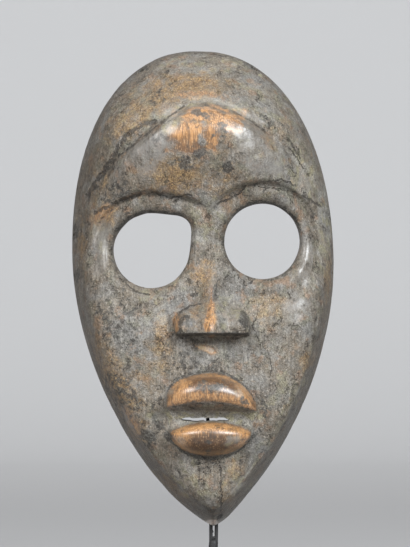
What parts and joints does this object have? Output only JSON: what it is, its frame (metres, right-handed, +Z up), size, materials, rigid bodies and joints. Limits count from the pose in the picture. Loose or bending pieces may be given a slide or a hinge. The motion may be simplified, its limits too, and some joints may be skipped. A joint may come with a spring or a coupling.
{
  "type": "carved wooden face mask on a rod stand",
  "caption": "Pointed oval wooden face mask with round pierced eyes, arched forehead, flat-based nose and full lips, worn dark patina, upright on a black steel rod and foot plate",
  "frame": {"origin": "middle of the foot plate's underside, on the table", "axes": "+Z up, the mask's face looks along -Y, +X is to the viewer's right"},
  "size_m": [0.1321, 0.09, 0.302],
  "materials": {
    "carved_wood": "worn dark patina, polished on the high parts",
    "black_steel": "satin black paint"
  },
  "bodies": {
    "root": {"mask": "carved_wood", "stand_rod": "black_steel", "stand_plate": "black_steel"}
  },
  "joints": []
}
